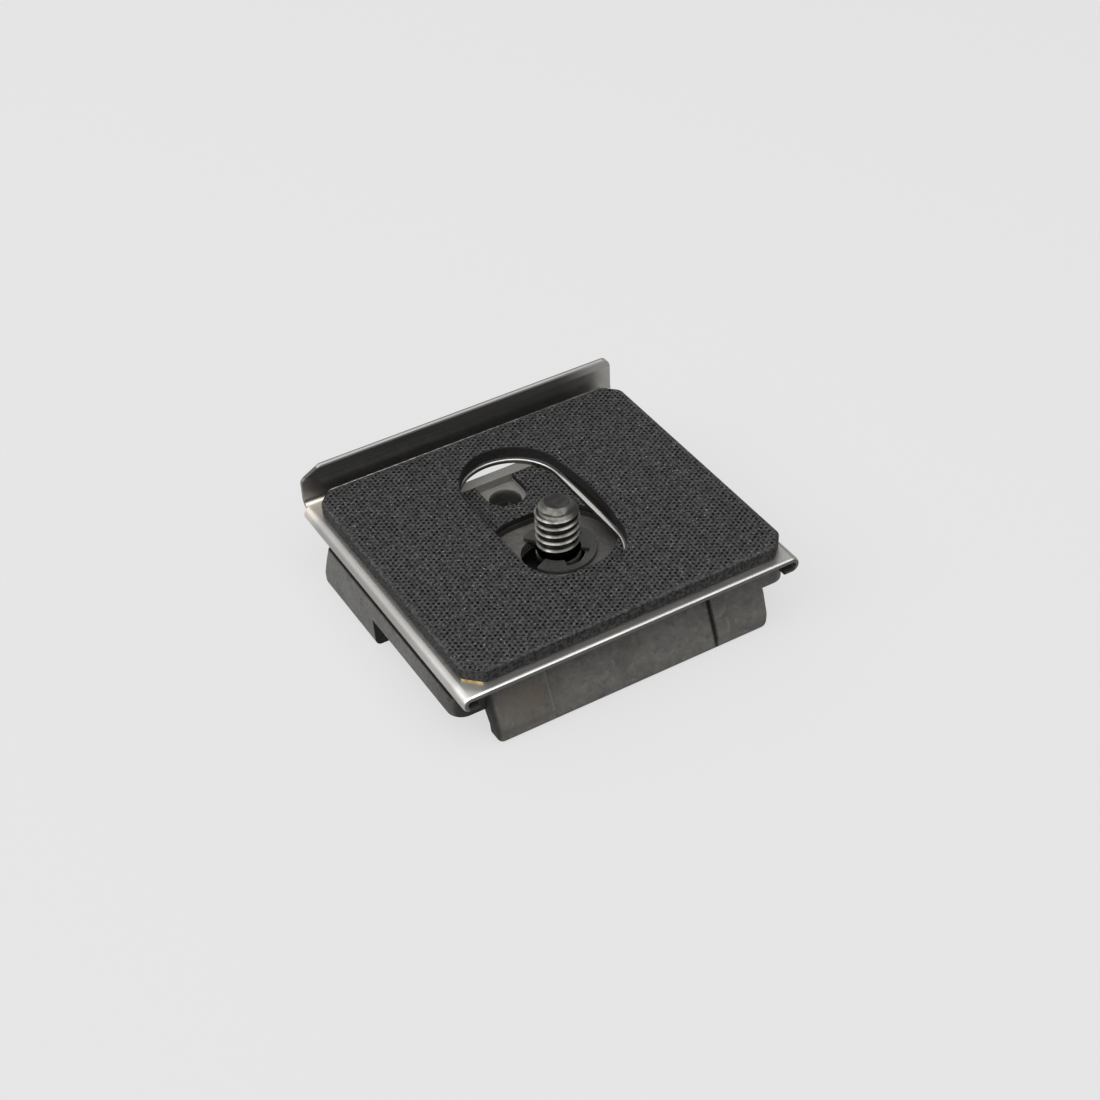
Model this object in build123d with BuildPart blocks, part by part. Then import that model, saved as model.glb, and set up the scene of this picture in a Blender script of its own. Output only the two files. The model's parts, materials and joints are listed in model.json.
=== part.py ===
# Tripod quick release plate with a sliding anti-twist lip.
#
# A die-cast base with a dovetail foot carries a folded sheet of stainless steel. The sheet's two
# side edges are rolled under and hook round a thin lip of the base, so the sheet slides to and fro.
# Its back edge is folded up into a lip that stops a camera from turning. A camera screw stands in
# a slot of the base, held by an open retaining ring above and by its head with a folding wire
# ring below. Rubber pads lie on the base and on the sheet.
#
# Frame: millimetres, +Z up, +X along the lip, +Y towards the lip. The origin is under the middle
# of the sheet, on the surface that the plate stands on.

import os
from math import cos, radians, sin, sqrt

from build123d import *

# Base casting
base_width = 52.5
dovetail_foot_length = 42.6
dovetail_neck_length = 37.6
foot_edge_height = 2.2
foot_edge_blend = 2.0
skirt_height = 4.85
skirt_width = 43.3
skirt_end_draft = 0.35
skirt_corner_radius = 1.0
skirt_edge_radius = 0.6
skirt_ear_thickness = 2.2
panel_width = 25.7
panel_depth = 0.55
panel_foot = 0.7
side_foot_length = 14.0
side_foot_draft = 0.2
side_foot_edge_radius = 0.9
back_corner_radius = 1.2
flange_thickness = 3.1
flange_corner_radius = 2.2
slab_thickness = 0.85
slab_corner_radius = 1.6
cavity_width = 36.0
cavity_length = 31.2
cavity_corner_radius = 3.0
side_wall = 1.3
deck_thickness = 1.7
cavity_rise = 1.5

# Base pad and its seat
seat_rim_side = 2.9
seat_rim_end = 1.8
seat_depth = 0.9
seat_gap = 0.1
base_pad_proud = 0.05

# Recess, slot and locating hole for the camera
recess_width = 14.1
recess_travel = 2.2
recess_pad_gap = 0.1
slot_width = 8.0
slot_travel = 0.6
screw_offset_y = 0.35
locating_hole_radius = 2.4
locating_hole_offset_y = 13.6
notch_width = 6.0
notch_depth = 0.4
notch_gap = 0.1

# Sliding sheet
sheet_side_inset = 0.05
sheet_length = 48.6
sheet_thickness = 0.65
slide_gap = 0.05
hook_gap = 0.15
leg_gap = 0.25
side_play = 0.65
roll_leg = 1.2
lip_height = 5.4
lip_width = 51.2
lip_bend_radius = 0.8
lip_crease_height = 4.2
lip_crease_back = 0.3
lip_corner_radius = 1.1
lip_clip_width = 3.2
lip_clip_height = 1.4
opening_radius = 7.5
opening_travel = 15.6

# Top pad
adhesive_thickness = 0.12
adhesive_inset = 0.15
top_pad_thickness = 1.85
pad_side_margin = 1.25
pad_front_margin = 1.45
pad_lip_gap = 0.3
pad_corner_clip = 2.3
pad_opening_margin = 0.4

# Camera screw, a quarter of an inch across
screw_radius = 3.175
screw_rise = 4.2
screw_tip_radius = 1.7
screw_chamfer_height = 1.4
head_radius = 7.6
head_height = 3.3
head_edge_chamfer = 0.5
head_gap = 0.1
coin_slot_width = 1.8
coin_slot_depth = 1.3

# Retaining ring in the screw's groove
clip_radius = 5.4
clip_thickness = 0.6
clip_gap = 0.05
clip_groove_radius = 2.5
clip_groove_slack = 0.1
clip_bore_gap = 0.06
clip_pocket_radius = 4.4
clip_corner_radius = 0.3
clip_mouth_angle = 78
clip_lug_angle = 50
clip_pocket_angle = 68
clip_turn = 166

# Folding wire ring of the screw head
wire_radius = 0.9
wire_gap = 0.05
wire_bend_radius = 1.3
wire_depth_in_head = 2.4
wire_height_in_head = 1.35
wire_head_gap = 0.35
ring_arm = 3.4

# Where the moving pieces stand
base_center_y = -2.75
screw_x = 0.9
opening_x = 0.55
opening_front_y = -5.9
pad_x = 0.4

# Heights, from the foot up
flange_bottom = skirt_height
flange_top = flange_bottom + flange_thickness
groove_height = leg_gap + sheet_thickness + hook_gap
slab_bottom = flange_top + groove_height
slab_top = slab_bottom + slab_thickness
seat_floor = slab_top - seat_depth
base_pad_top = slab_top + base_pad_proud
sheet_bottom = base_pad_top + slide_gap
sheet_top = sheet_bottom + sheet_thickness
roll_height = 2 * sheet_thickness + slide_gap + base_pad_proud + slab_thickness + hook_gap
pad_bottom = sheet_top + adhesive_thickness
pad_top = pad_bottom + top_pad_thickness
screw_top = pad_top + screw_rise
cavity_top = skirt_height + cavity_rise
recess_floor = cavity_top + deck_thickness
clip_bottom = recess_floor + clip_gap
clip_top = clip_bottom + clip_thickness
head_top = cavity_top - head_gap
head_bottom = head_top - head_height
wire_axis_height = head_bottom + wire_height_in_head

# Plan sizes that follow from the base and the sheet
sheet_width = base_width - 2 * sheet_side_inset
roll_radius = roll_height / 2
slab_width = sheet_width - 2 * sheet_thickness - 2 * side_play
roll_reach = roll_radius + roll_leg
neck_width = sheet_width - 2 * roll_reach - 2 * side_play
sheet_front = -sheet_length / 2
lip_back = sheet_length / 2
lip_front = lip_back - lip_crease_back - sheet_thickness

# Plan places
screw_y = base_center_y + screw_offset_y
locating_hole_y = base_center_y + locating_hole_offset_y
base_back_neck = base_center_y + dovetail_neck_length / 2
seat_back = base_back_neck - seat_rim_end
opening_center_y = opening_front_y + opening_travel / 2
pad_front = sheet_front + pad_front_margin
pad_back = lip_front - lip_bend_radius - pad_lip_gap
pad_width = sheet_width - 2 * pad_side_margin


def obround(center_x, center_y, radius, travel, along_x):
    """Sketch of a slot with round ends: travel is the distance between the ends' centres."""
    turn = 0 if along_x else 90
    with BuildSketch(Plane.XY) as sketch:
        with Locations((center_x, center_y)):
            SlotCenterToCenter(travel, 2 * radius, rotation=turn)
    return sketch.sketch


def locating_notch(gap, back_y):
    """Sketch of the notch round the locating hole: round at the front, open at the back."""
    half = notch_width / 2 + gap
    with BuildSketch(Plane.XY) as sketch:
        with Locations((0, locating_hole_y)):
            Circle(half)
        with Locations((0, (locating_hole_y + back_y) / 2)):
            Rectangle(2 * half, back_y - locating_hole_y)
    return sketch.sketch


def wall_line(side, inwards):
    """Foot and neck of a slanted dovetail wall, moved inwards by the given distance."""
    foot_y = base_center_y + side * (dovetail_foot_length / 2 - inwards)
    neck_y = base_center_y + side * (dovetail_neck_length / 2 - inwards)
    return foot_y, neck_y


def dovetail_block(width, end_draft, inner_y, side):
    """Block with one slanted dovetail wall and drafted ends, before its edges are rounded."""
    foot_y, neck_y = wall_line(side, inwards=0)
    half = width / 2
    with BuildPart() as block:
        with BuildSketch(Plane.YZ.offset(-half)) as profile:
            with BuildLine():
                Polyline(
                    (inner_y, 0),
                    (foot_y, 0),
                    (foot_y, foot_edge_height),
                    (neck_y, flange_top),
                    (inner_y, flange_top),
                    close=True,
                )
            make_face()
            fillet(profile.vertices().sort_by_distance((foot_y, foot_edge_height))[0], foot_edge_blend)
        extrude(amount=width)
        with BuildSketch(Plane.XZ.offset(-base_center_y)):
            with BuildLine():
                Polyline(
                    (-half + end_draft, 0),
                    (half - end_draft, 0),
                    (half, flange_bottom),
                    (half, flange_top),
                    (-half, flange_top),
                    (-half, flange_bottom),
                    close=True,
                )
            make_face()
        extrude(amount=dovetail_foot_length, both=True, mode=Mode.INTERSECT)
    return block.part


def front_wall():
    """The front dovetail wall: its ends stand clear of the body as thin ears."""
    inner_y = base_center_y - cavity_length / 2
    ear_width = (skirt_width - cavity_width) / 2 - side_wall
    neck_y = base_center_y - dovetail_neck_length / 2
    ear_foot_y, ear_neck_y = wall_line(-1, inwards=skirt_ear_thickness)
    with BuildPart() as wall:
        add(dovetail_block(skirt_width, skirt_end_draft, inner_y, side=-1))
        fillet(wall.faces().sort_by(Axis.Z)[0].edges().filter_by(Axis.Y), skirt_corner_radius)
        outer_edges = wall.edges().filter_by(
            lambda edge: edge.center().Y < neck_y and edge.center().Z < flange_top and not edge.is_interior
        )
        fillet(outer_edges, skirt_edge_radius)
        for start_x in (-skirt_width / 2, skirt_width / 2 - ear_width):
            with BuildSketch(Plane.YZ.offset(start_x)):
                with BuildLine():
                    Polyline(
                        (ear_foot_y, 0),
                        (ear_foot_y, foot_edge_height),
                        (ear_neck_y, flange_top),
                        (inner_y, flange_top),
                        (inner_y, 0),
                        close=True,
                    )
                make_face()
            extrude(amount=ear_width, mode=Mode.SUBTRACT)
    return wall.part


def back_foot():
    """The back dovetail wall with the two side feet: flush with the flange and round at the corners."""
    front_y = base_back_neck - side_foot_length
    with BuildPart() as foot:
        add(dovetail_block(base_width, side_foot_draft, front_y, side=1))
        corner_edges = foot.edges().filter_by(
            lambda edge: edge.center().Y > base_back_neck
            and 0 < edge.center().Z < flange_top
            and abs(edge.center().X) > skirt_width / 2
        )
        fillet(corner_edges, back_corner_radius)
        bottom_edges = foot.faces().sort_by(Axis.Z)[0].edges()
        fillet(bottom_edges.sort_by(Axis.Y)[1:], side_foot_edge_radius)
    return foot.part


def panel_cut(side):
    """The shallow panel between two shoulders, as the piece to cut away: it runs out at the foot."""
    outer_foot_y, _ = wall_line(side, inwards=0)
    foot_y, neck_y = wall_line(side, inwards=panel_depth)
    outer_y = base_center_y + side * dovetail_foot_length
    with BuildPart() as cut:
        with BuildSketch(Plane.YZ.offset(-panel_width / 2)) as profile:
            with BuildLine():
                Polyline(
                    (outer_y, panel_foot),
                    (outer_foot_y, panel_foot),
                    (foot_y, foot_edge_height),
                    (neck_y, flange_top),
                    (outer_y, flange_top),
                    close=True,
                )
            make_face()
            fillet(profile.vertices().sort_by_distance((foot_y, foot_edge_height))[0], foot_edge_blend)
        extrude(amount=panel_width)
    return cut.part


# Base plate: one casting
with BuildPart() as base_plate:
    # lower flange, neck between the grooves and thin slab that the sheet hooks round
    with BuildSketch(Plane.XY.offset(flange_bottom)):
        with Locations((0, base_center_y)):
            RectangleRounded(base_width, dovetail_neck_length, flange_corner_radius)
    extrude(amount=flange_thickness)
    with BuildSketch(Plane.XY.offset(flange_top)):
        with Locations((0, base_center_y)):
            RectangleRounded(neck_width, dovetail_neck_length, slab_corner_radius)
    extrude(amount=groove_height)
    with BuildSketch(Plane.XY.offset(slab_bottom)):
        with Locations((0, base_center_y)):
            RectangleRounded(slab_width, dovetail_neck_length, slab_corner_radius)
    extrude(amount=slab_thickness)
    # side walls below the flange, dovetail walls and their panels
    side_wall_length = (dovetail_neck_length + cavity_length) / 2
    with BuildSketch(Plane.XY):
        with Locations((0, base_center_y)):
            Rectangle(cavity_width + 2 * side_wall, side_wall_length)
    extrude(amount=flange_bottom)
    add(front_wall())
    add(back_foot())
    add(panel_cut(side=-1), mode=Mode.SUBTRACT)
    add(panel_cut(side=1), mode=Mode.SUBTRACT)
    # hollow underside
    with BuildSketch(Plane.XY):
        with Locations((0, base_center_y)):
            RectangleRounded(cavity_width, cavity_length, cavity_corner_radius)
    extrude(amount=cavity_top, mode=Mode.SUBTRACT)
    # seat of the base pad, recess and slot of the screw, notch and hole for a camera's locating pin
    with BuildSketch(Plane.XY.offset(seat_floor)):
        with Locations((0, base_center_y)):
            RectangleRounded(
                slab_width - 2 * seat_rim_side,
                dovetail_neck_length - 2 * seat_rim_end,
                slab_corner_radius,
            )
    extrude(amount=seat_depth, mode=Mode.SUBTRACT)
    with BuildSketch(Plane.XY.offset(recess_floor)):
        add(obround(0, screw_y, recess_width / 2, 2 * recess_travel, along_x=True))
    extrude(amount=slab_top - recess_floor, mode=Mode.SUBTRACT)
    with BuildSketch(Plane.XY.offset(seat_floor)):
        add(locating_notch(0, seat_back))
    extrude(amount=-notch_depth, mode=Mode.SUBTRACT)
    with BuildSketch(Plane.XY.offset(cavity_top)):
        add(obround(0, screw_y, slot_width / 2, 2 * slot_travel, along_x=True))
        with Locations((0, locating_hole_y)):
            Circle(locating_hole_radius)
    extrude(amount=seat_floor - cavity_top, mode=Mode.SUBTRACT)
base_plate.part.label = "base_plate"

# Base pad: thin rubber, cut out round the recess and the locating notch
with BuildPart() as base_pad:
    with BuildSketch(Plane.XY.offset(seat_floor)):
        with Locations((0, base_center_y)):
            RectangleRounded(
                slab_width - 2 * seat_rim_side - 2 * seat_gap,
                dovetail_neck_length - 2 * seat_rim_end - 2 * seat_gap,
                slab_corner_radius,
            )
        recess_cut_radius = recess_width / 2 + recess_pad_gap
        add(
            obround(0, screw_y, recess_cut_radius, 2 * recess_travel, along_x=True),
            mode=Mode.SUBTRACT,
        )
        add(locating_notch(notch_gap, seat_back), mode=Mode.SUBTRACT)
    extrude(amount=base_pad_top - seat_floor)
base_pad.part.label = "base_pad"


def anti_twist_lip():
    """The lip folded up along the back: bent once at its foot, leaned back above a crease."""
    outer_bend = lip_bend_radius + sheet_thickness
    bend_y = lip_front - lip_bend_radius
    bend_z = sheet_top + lip_bend_radius
    crease_z = sheet_top + lip_crease_height
    lip_top = sheet_top + lip_height
    half = lip_width / 2
    slant = 1 / sqrt(2)
    with BuildPart() as lip:
        with BuildSketch(Plane.YZ.offset(-half)):
            with BuildLine():
                Line((bend_y, sheet_bottom), (bend_y, sheet_top))
                ThreePointArc(
                    (bend_y, sheet_top),
                    (bend_y + lip_bend_radius * slant, bend_z - lip_bend_radius * slant),
                    (lip_front, bend_z),
                )
                Line((lip_front, bend_z), (lip_front, crease_z))
                Line((lip_front, crease_z), (lip_front + lip_crease_back, lip_top))
                Line((lip_front + lip_crease_back, lip_top), (lip_back, lip_top))
                Line((lip_back, lip_top), (lip_front + sheet_thickness, crease_z))
                Line((lip_front + sheet_thickness, crease_z), (lip_front + sheet_thickness, bend_z))
                ThreePointArc(
                    (lip_front + sheet_thickness, bend_z),
                    (bend_y + outer_bend * slant, bend_z - outer_bend * slant),
                    (bend_y, sheet_bottom),
                )
            make_face()
        extrude(amount=lip_width)
        with BuildSketch(Plane.XZ.offset(-lip_back)) as outline:
            with BuildLine():
                Polyline(
                    (-half, sheet_bottom),
                    (half, sheet_bottom),
                    (half, lip_top),
                    (-half + lip_clip_width, lip_top),
                    (-half, lip_top - lip_clip_height),
                    close=True,
                )
            make_face()
            upper_corners = outline.vertices().group_by(Axis.Y)[1:]
            fillet([corner for level in upper_corners for corner in level], lip_corner_radius)
        extrude(amount=2 * lip_height, both=True, mode=Mode.INTERSECT)
    return lip.part


# Sliding sheet: rolled side edges, flat top, lip folded up along the back
with BuildPart() as slide_plate:
    with BuildSketch(Plane.XZ.offset(-sheet_front)):
        half = sheet_width / 2
        leg_end = half - roll_reach
        bend_start = half - roll_radius
        roll_bottom = sheet_top - roll_height
        roll_middle = sheet_top - roll_radius
        inner_radius = roll_radius - sheet_thickness
        with BuildLine() as right_half:
            Line((0, sheet_bottom), (0, sheet_top))
            Line((0, sheet_top), (bend_start, sheet_top))
            ThreePointArc((bend_start, sheet_top), (half, roll_middle), (bend_start, roll_bottom))
            Line((bend_start, roll_bottom), (leg_end, roll_bottom))
            Line((leg_end, roll_bottom), (leg_end, roll_bottom + sheet_thickness))
            Line((leg_end, roll_bottom + sheet_thickness), (bend_start, roll_bottom + sheet_thickness))
            ThreePointArc(
                (bend_start, roll_bottom + sheet_thickness),
                (bend_start + inner_radius, roll_middle),
                (bend_start, sheet_bottom),
            )
            Line((bend_start, sheet_bottom), (0, sheet_bottom))
        make_face()
        mirror(about=Plane.YZ)
    extrude(amount=-(lip_front - lip_bend_radius - sheet_front))
    add(anti_twist_lip())
    with BuildSketch(Plane.XY.offset(sheet_bottom)):
        add(obround(opening_x, opening_center_y, opening_radius, opening_travel, along_x=False))
    extrude(amount=sheet_thickness, mode=Mode.SUBTRACT)
slide_plate.part.label = "slide_plate"


def pad_outline(inset, opening_growth):
    """Sketch of the top pad: clipped corners and the long opening over the screw."""
    with BuildSketch(Plane.XY) as sketch:
        with Locations((pad_x, (pad_front + pad_back) / 2)):
            Rectangle(pad_width - 2 * inset, pad_back - pad_front - 2 * inset)
        chamfer(sketch.vertices(), pad_corner_clip)
        opening_width = opening_radius + opening_growth
        add(
            obround(opening_x, opening_center_y, opening_width, opening_travel, along_x=False),
            mode=Mode.SUBTRACT,
        )
    return sketch.sketch


# Adhesive film under the top pad
with BuildPart() as pad_adhesive:
    with BuildSketch(Plane.XY.offset(sheet_top)):
        add(pad_outline(adhesive_inset, pad_opening_margin + adhesive_inset))
    extrude(amount=adhesive_thickness)
pad_adhesive.part.label = "pad_adhesive"

# Top pad: the rubber face that the camera sits on
with BuildPart() as top_pad:
    with BuildSketch(Plane.XY.offset(pad_bottom)):
        add(pad_outline(0, pad_opening_margin))
    extrude(amount=top_pad_thickness)
top_pad.part.label = "top_pad"

# Camera screw: head with a coin slot and a cross hole, groove for the ring, chamfered tip
groove_bottom = clip_bottom - clip_groove_slack / 2
groove_top = clip_top + clip_groove_slack / 2
with BuildPart() as camera_screw:
    with BuildSketch(Plane.XZ):
        with BuildLine():
            Polyline(
                (0, head_bottom),
                (head_radius - head_edge_chamfer, head_bottom),
                (head_radius, head_bottom + head_edge_chamfer),
                (head_radius, head_top - head_edge_chamfer),
                (head_radius - head_edge_chamfer, head_top),
                (screw_radius, head_top),
                (screw_radius, groove_bottom),
                (clip_groove_radius, groove_bottom),
                (clip_groove_radius, groove_top),
                (screw_radius, groove_top),
                (screw_radius, screw_top - screw_chamfer_height),
                (screw_tip_radius, screw_top),
                (0, screw_top),
                close=True,
            )
        make_face()
    revolve(axis=Axis.Z)
    with BuildSketch(Plane.XY.offset(head_bottom)):
        Rectangle(coin_slot_width, 2 * head_radius)
    extrude(amount=coin_slot_depth, mode=Mode.SUBTRACT)
    hole_start = head_radius - wire_depth_in_head
    for side in (-1, 1):
        with BuildSketch(Plane.YZ.offset(side * hole_start)):
            with Locations((0, wire_axis_height)):
                Circle(wire_radius + wire_gap)
        extrude(amount=side * head_radius, mode=Mode.SUBTRACT)
camera_screw.part = Pos(screw_x, screw_y, 0) * camera_screw.part
camera_screw.part.label = "camera_screw"

def ring_sector(middle_angle, spread):
    """Sketch of a triangle from the screw's axis outwards that covers a sector of the ring."""
    reach = 2 * clip_radius
    corners = [(screw_x, screw_y)]
    for angle in (middle_angle - spread / 2, middle_angle + spread / 2):
        corners.append((screw_x + reach * cos(radians(angle)), screw_y + reach * sin(radians(angle))))
    with BuildSketch(Plane.XY) as sector:
        with BuildLine():
            Polyline(*corners, close=True)
        make_face()
    return sector.sketch


# Retaining ring: open at one side, with two pockets between its three lugs
pocket_turn = clip_mouth_angle / 2 + clip_lug_angle + clip_pocket_angle / 2
with BuildSketch(Plane.XY) as clip_pockets:
    add(ring_sector(clip_turn + pocket_turn, clip_pocket_angle))
    add(ring_sector(clip_turn - pocket_turn, clip_pocket_angle))
    with Locations((screw_x, screw_y)):
        Circle(clip_pocket_radius, mode=Mode.INTERSECT)

with BuildPart() as retaining_clip:
    with BuildSketch(Plane.XY.offset(clip_bottom)) as clip_outline:
        with Locations((screw_x, screw_y)):
            Circle(clip_radius)
            Circle(clip_groove_radius + clip_bore_gap, mode=Mode.SUBTRACT)
        add(clip_pockets.sketch, mode=Mode.SUBTRACT)
        add(ring_sector(clip_turn, clip_mouth_angle), mode=Mode.SUBTRACT)
        fillet(clip_outline.vertices(), clip_corner_radius)
    extrude(amount=clip_thickness)
retaining_clip.part.label = "retaining_clip"

# Wire ring: bent from one length of round wire, its ends turned into the head's cross hole
ring_side = head_radius + wire_head_gap + wire_radius
ring_end = head_radius - wire_depth_in_head + wire_gap
with BuildPart() as d_ring:
    with BuildLine(Plane.XY.offset(wire_axis_height)) as ring_path:
        bend_y = screw_y + wire_bend_radius
        arm_y = bend_y + ring_arm
        Line((screw_x + ring_end, screw_y), (screw_x + ring_side - wire_bend_radius, screw_y))
        RadiusArc(
            (screw_x + ring_side - wire_bend_radius, screw_y),
            (screw_x + ring_side, bend_y),
            -wire_bend_radius,
        )
        Line((screw_x + ring_side, bend_y), (screw_x + ring_side, arm_y))
        ThreePointArc(
            (screw_x + ring_side, arm_y),
            (screw_x, arm_y + ring_side),
            (screw_x - ring_side, arm_y),
        )
        Line((screw_x - ring_side, arm_y), (screw_x - ring_side, bend_y))
        RadiusArc(
            (screw_x - ring_side, bend_y),
            (screw_x - ring_side + wire_bend_radius, screw_y),
            -wire_bend_radius,
        )
        Line((screw_x - ring_side + wire_bend_radius, screw_y), (screw_x - ring_end, screw_y))
    with BuildSketch(Plane((screw_x + ring_end, screw_y, wire_axis_height), z_dir=(1, 0, 0))):
        Circle(wire_radius)
    sweep(path=ring_path.line)
d_ring.part.label = "d_ring"

os.makedirs("parts", exist_ok=True)
pieces = (
    base_plate,
    base_pad,
    slide_plate,
    pad_adhesive,
    top_pad,
    camera_screw,
    retaining_clip,
    d_ring,
)
for piece in pieces:
    export_step(piece.part, f"parts/{piece.part.label}.step")
    print(piece.part.label, round(piece.part.volume, 2), piece.part.bounding_box())
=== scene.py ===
# %% [markdown]
# # Dressing a tripod quick release plate
# The plate screws to the underside of a camera and clips into a tripod head. A die-cast base with a
# dovetail foot carries a folded sheet of stainless steel, which slides to and fro. Rubber pads grip
# the camera, and a lip at the back of the sheet keeps it from turning.
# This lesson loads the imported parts, gives each of them its finish, and makes anew what the plain
# solids leave out, such as the thread of the screw and the softened edges of folded metal.

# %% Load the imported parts
import json
from math import cos, pi, radians

import bmesh
import bpy
from mathutils import Matrix, Vector


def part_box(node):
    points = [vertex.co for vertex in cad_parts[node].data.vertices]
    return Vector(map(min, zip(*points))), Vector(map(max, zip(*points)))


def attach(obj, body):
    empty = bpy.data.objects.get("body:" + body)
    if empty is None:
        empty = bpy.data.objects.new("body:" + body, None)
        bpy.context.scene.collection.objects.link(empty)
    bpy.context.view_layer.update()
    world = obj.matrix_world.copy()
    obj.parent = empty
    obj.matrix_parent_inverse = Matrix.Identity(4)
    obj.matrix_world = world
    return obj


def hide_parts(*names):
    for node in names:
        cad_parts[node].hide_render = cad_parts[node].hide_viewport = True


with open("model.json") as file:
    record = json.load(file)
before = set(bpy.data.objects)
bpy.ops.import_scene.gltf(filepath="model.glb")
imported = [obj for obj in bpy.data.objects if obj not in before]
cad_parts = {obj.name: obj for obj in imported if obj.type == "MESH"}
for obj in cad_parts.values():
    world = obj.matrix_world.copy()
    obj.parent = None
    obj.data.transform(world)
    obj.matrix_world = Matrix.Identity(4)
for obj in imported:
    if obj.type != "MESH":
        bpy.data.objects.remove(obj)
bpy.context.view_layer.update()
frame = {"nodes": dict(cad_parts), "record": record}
MM = 0.001


def box_in_mm(node_name):
    """The two corners of a part's box, in millimetres."""
    return [Vector(corner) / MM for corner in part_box(node_name)]


sheet_low, sheet_high = box_in_mm("slide_plate")
pad_low, pad_high = box_in_mm("top_pad")
film_low = box_in_mm("pad_adhesive")[0]
screw_low, screw_high = box_in_mm("camera_screw")
clip_high = box_in_mm("retaining_clip")[1]
sheet_face = film_low.z
print("parts:", ", ".join(frame["nodes"]))

# %% [markdown]
# ## The camera
# The photograph looks down on the plate from the front and a little from the left. A camera is
# easiest to place by what it looks at: a point on the pad, a distance, and three angles. The roll
# is the small tilt of the picture itself.

# %% Place the camera
aim_point = Vector((-2.8, -6.6, 12.6)) * MM
camera_distance = 276.5 * MM
camera_azimuth = -29.13
camera_elevation = 39.7
camera_roll = -2.62
view_angle = 30.23
nearest_seen = 0.01


def turned_to(azimuth, elevation):
    """A turn that looks at the plate from an azimuth and an elevation in degrees."""
    around = Matrix.Rotation(radians(azimuth), 4, "Z")
    return around @ Matrix.Rotation(pi / 2 - radians(elevation), 4, "X")


camera_data = bpy.data.cameras.new("photo_camera")
camera_data.angle = radians(view_angle)
camera_data.clip_start = nearest_seen
camera = bpy.data.objects.new("photo_camera", camera_data)
bpy.context.scene.collection.objects.link(camera)
turn = turned_to(camera_azimuth, camera_elevation) @ Matrix.Rotation(radians(camera_roll), 4, "Z")
camera.matrix_world = Matrix.Translation(aim_point) @ turn @ Matrix.Translation((0, 0, camera_distance))
bpy.context.scene.camera = camera
print("camera at", [round(value / MM, 1) for value in camera.matrix_world.translation], "mm")

# %% [markdown]
# ## Materials by nodes
# Every finish here is a small network of shader nodes. A network can be wired up link by link, but
# then a simple mask takes ten lines. A few helpers keep it short: one adds a node with its values,
# and the others are the nodes that come up again and again.


# %% Helpers for nodes
def feed(tree, socket, value):
    """Links an input to another node's socket, or sets it to a plain value."""
    if isinstance(value, bpy.types.NodeSocket):
        tree.links.new(value, socket)
    else:
        socket.default_value = value


def add_node(tree, kind, settings=(), **inputs):
    """Adds a node. Settings are its own options; inputs go by name, or by place as i0, i1 and so on."""
    node = tree.nodes.new(kind)
    for name, value in dict(settings).items():
        setattr(node, name, value)
    for name, value in inputs.items():
        by_place = name[0] == "i" and name[1:].isdigit()
        feed(tree, node.inputs[int(name[1:]) if by_place else name], value)
    return node


def math(tree, operation, first, second=0.0):
    """One step of arithmetic between two sockets or numbers."""
    return add_node(tree, "ShaderNodeMath", {"operation": operation}, i0=first, i1=second).outputs[0]


def vector_math(tree, operation, first, second=(0.0, 0.0, 0.0), **inputs):
    """One step of arithmetic between two places."""
    settings = {"operation": operation}
    return add_node(tree, "ShaderNodeVectorMath", settings, i0=first, i1=second, **inputs).outputs


def split(tree, place):
    """The X, Y and Z of a place."""
    return add_node(tree, "ShaderNodeSeparateXYZ", Vector=place).outputs


def noise(tree, place, scale, detail, **inputs):
    """Cloudy noise, with a scale per millimetre."""
    node = add_node(tree, "ShaderNodeTexNoise", Vector=place, Scale=scale, Detail=detail, **inputs)
    return node.outputs


print("node helpers ready")

# %% [markdown]
# ## Masks
# Wear and dirt lie at certain places, so most of the nodes work out masks: values from 0 to 1 that
# say where a mark is. A mask could be painted as a picture, but one that is made from distances fits
# the piece at any resolution. Masks are multiplied to be narrowed down, and a mask blends colours.


# %% Helpers for masks
def product(tree, *masks):
    """Masks multiplied with each other."""
    result = masks[0]
    for mask in masks[1:]:
        result = math(tree, "MULTIPLY", result, mask)
    return result


def ramp(tree, value, low, high, to_low=0.0, to_high=1.0):
    """Maps a range of values smoothly on another range."""
    node = add_node(tree, "ShaderNodeMapRange", {"interpolation_type": "SMOOTHSTEP"}, Value=value)
    limits = {"From Min": low, "From Max": high, "To Min": to_low, "To Max": to_high}
    for name, number in limits.items():
        node.inputs[name].default_value = number
    return node.outputs["Result"]


def near(tree, value, middle, reach, fade):
    """1 where a value lies within reach of a middle, and 0 beyond the fade."""
    away = math(tree, "ABSOLUTE", math(tree, "SUBTRACT", value, middle))
    return ramp(tree, away, reach, reach + fade, 1.0, 0.0)


def flattened(tree, place):
    """The place seen from above, with its height left out."""
    return vector_math(tree, "MULTIPLY", place, (1.0, 1.0, 0.0))[0]


def distance_from(tree, place, point):
    """The distance of a place from a point, in millimetres."""
    return vector_math(tree, "DISTANCE", place, point)["Value"]


def patch(tree, place, point, full, gone, strength):
    """A round patch: at its full strength up to one distance from a point, and gone at another."""
    return ramp(tree, distance_from(tree, place, point), full, gone, strength, 0.0)


print("mask helpers ready")

# %% [markdown]
# ## Starting a material
# Each material starts from a Principled shader and the piece's own coordinates, scaled to millimetres,
# so that the numbers below can be measured on the plate. Object coordinates ride with a piece, so a
# mark keeps its place when the piece moves. Three more helpers mix colours, shade them and add a bump.


# %% Helpers for materials
def blend(tree, amount, first, second):
    """Mixes two colours. A Mix node has them at its inputs 6 and 7, and the result at its output 2."""
    node = add_node(tree, "ShaderNodeMix", {"data_type": "RGBA"}, i0=amount)
    for socket, colour in ((node.inputs[6], first), (node.inputs[7], second)):
        feed(tree, socket, colour if isinstance(colour, bpy.types.NodeSocket) else (*colour, 1.0))
    return node.outputs[2]


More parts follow.
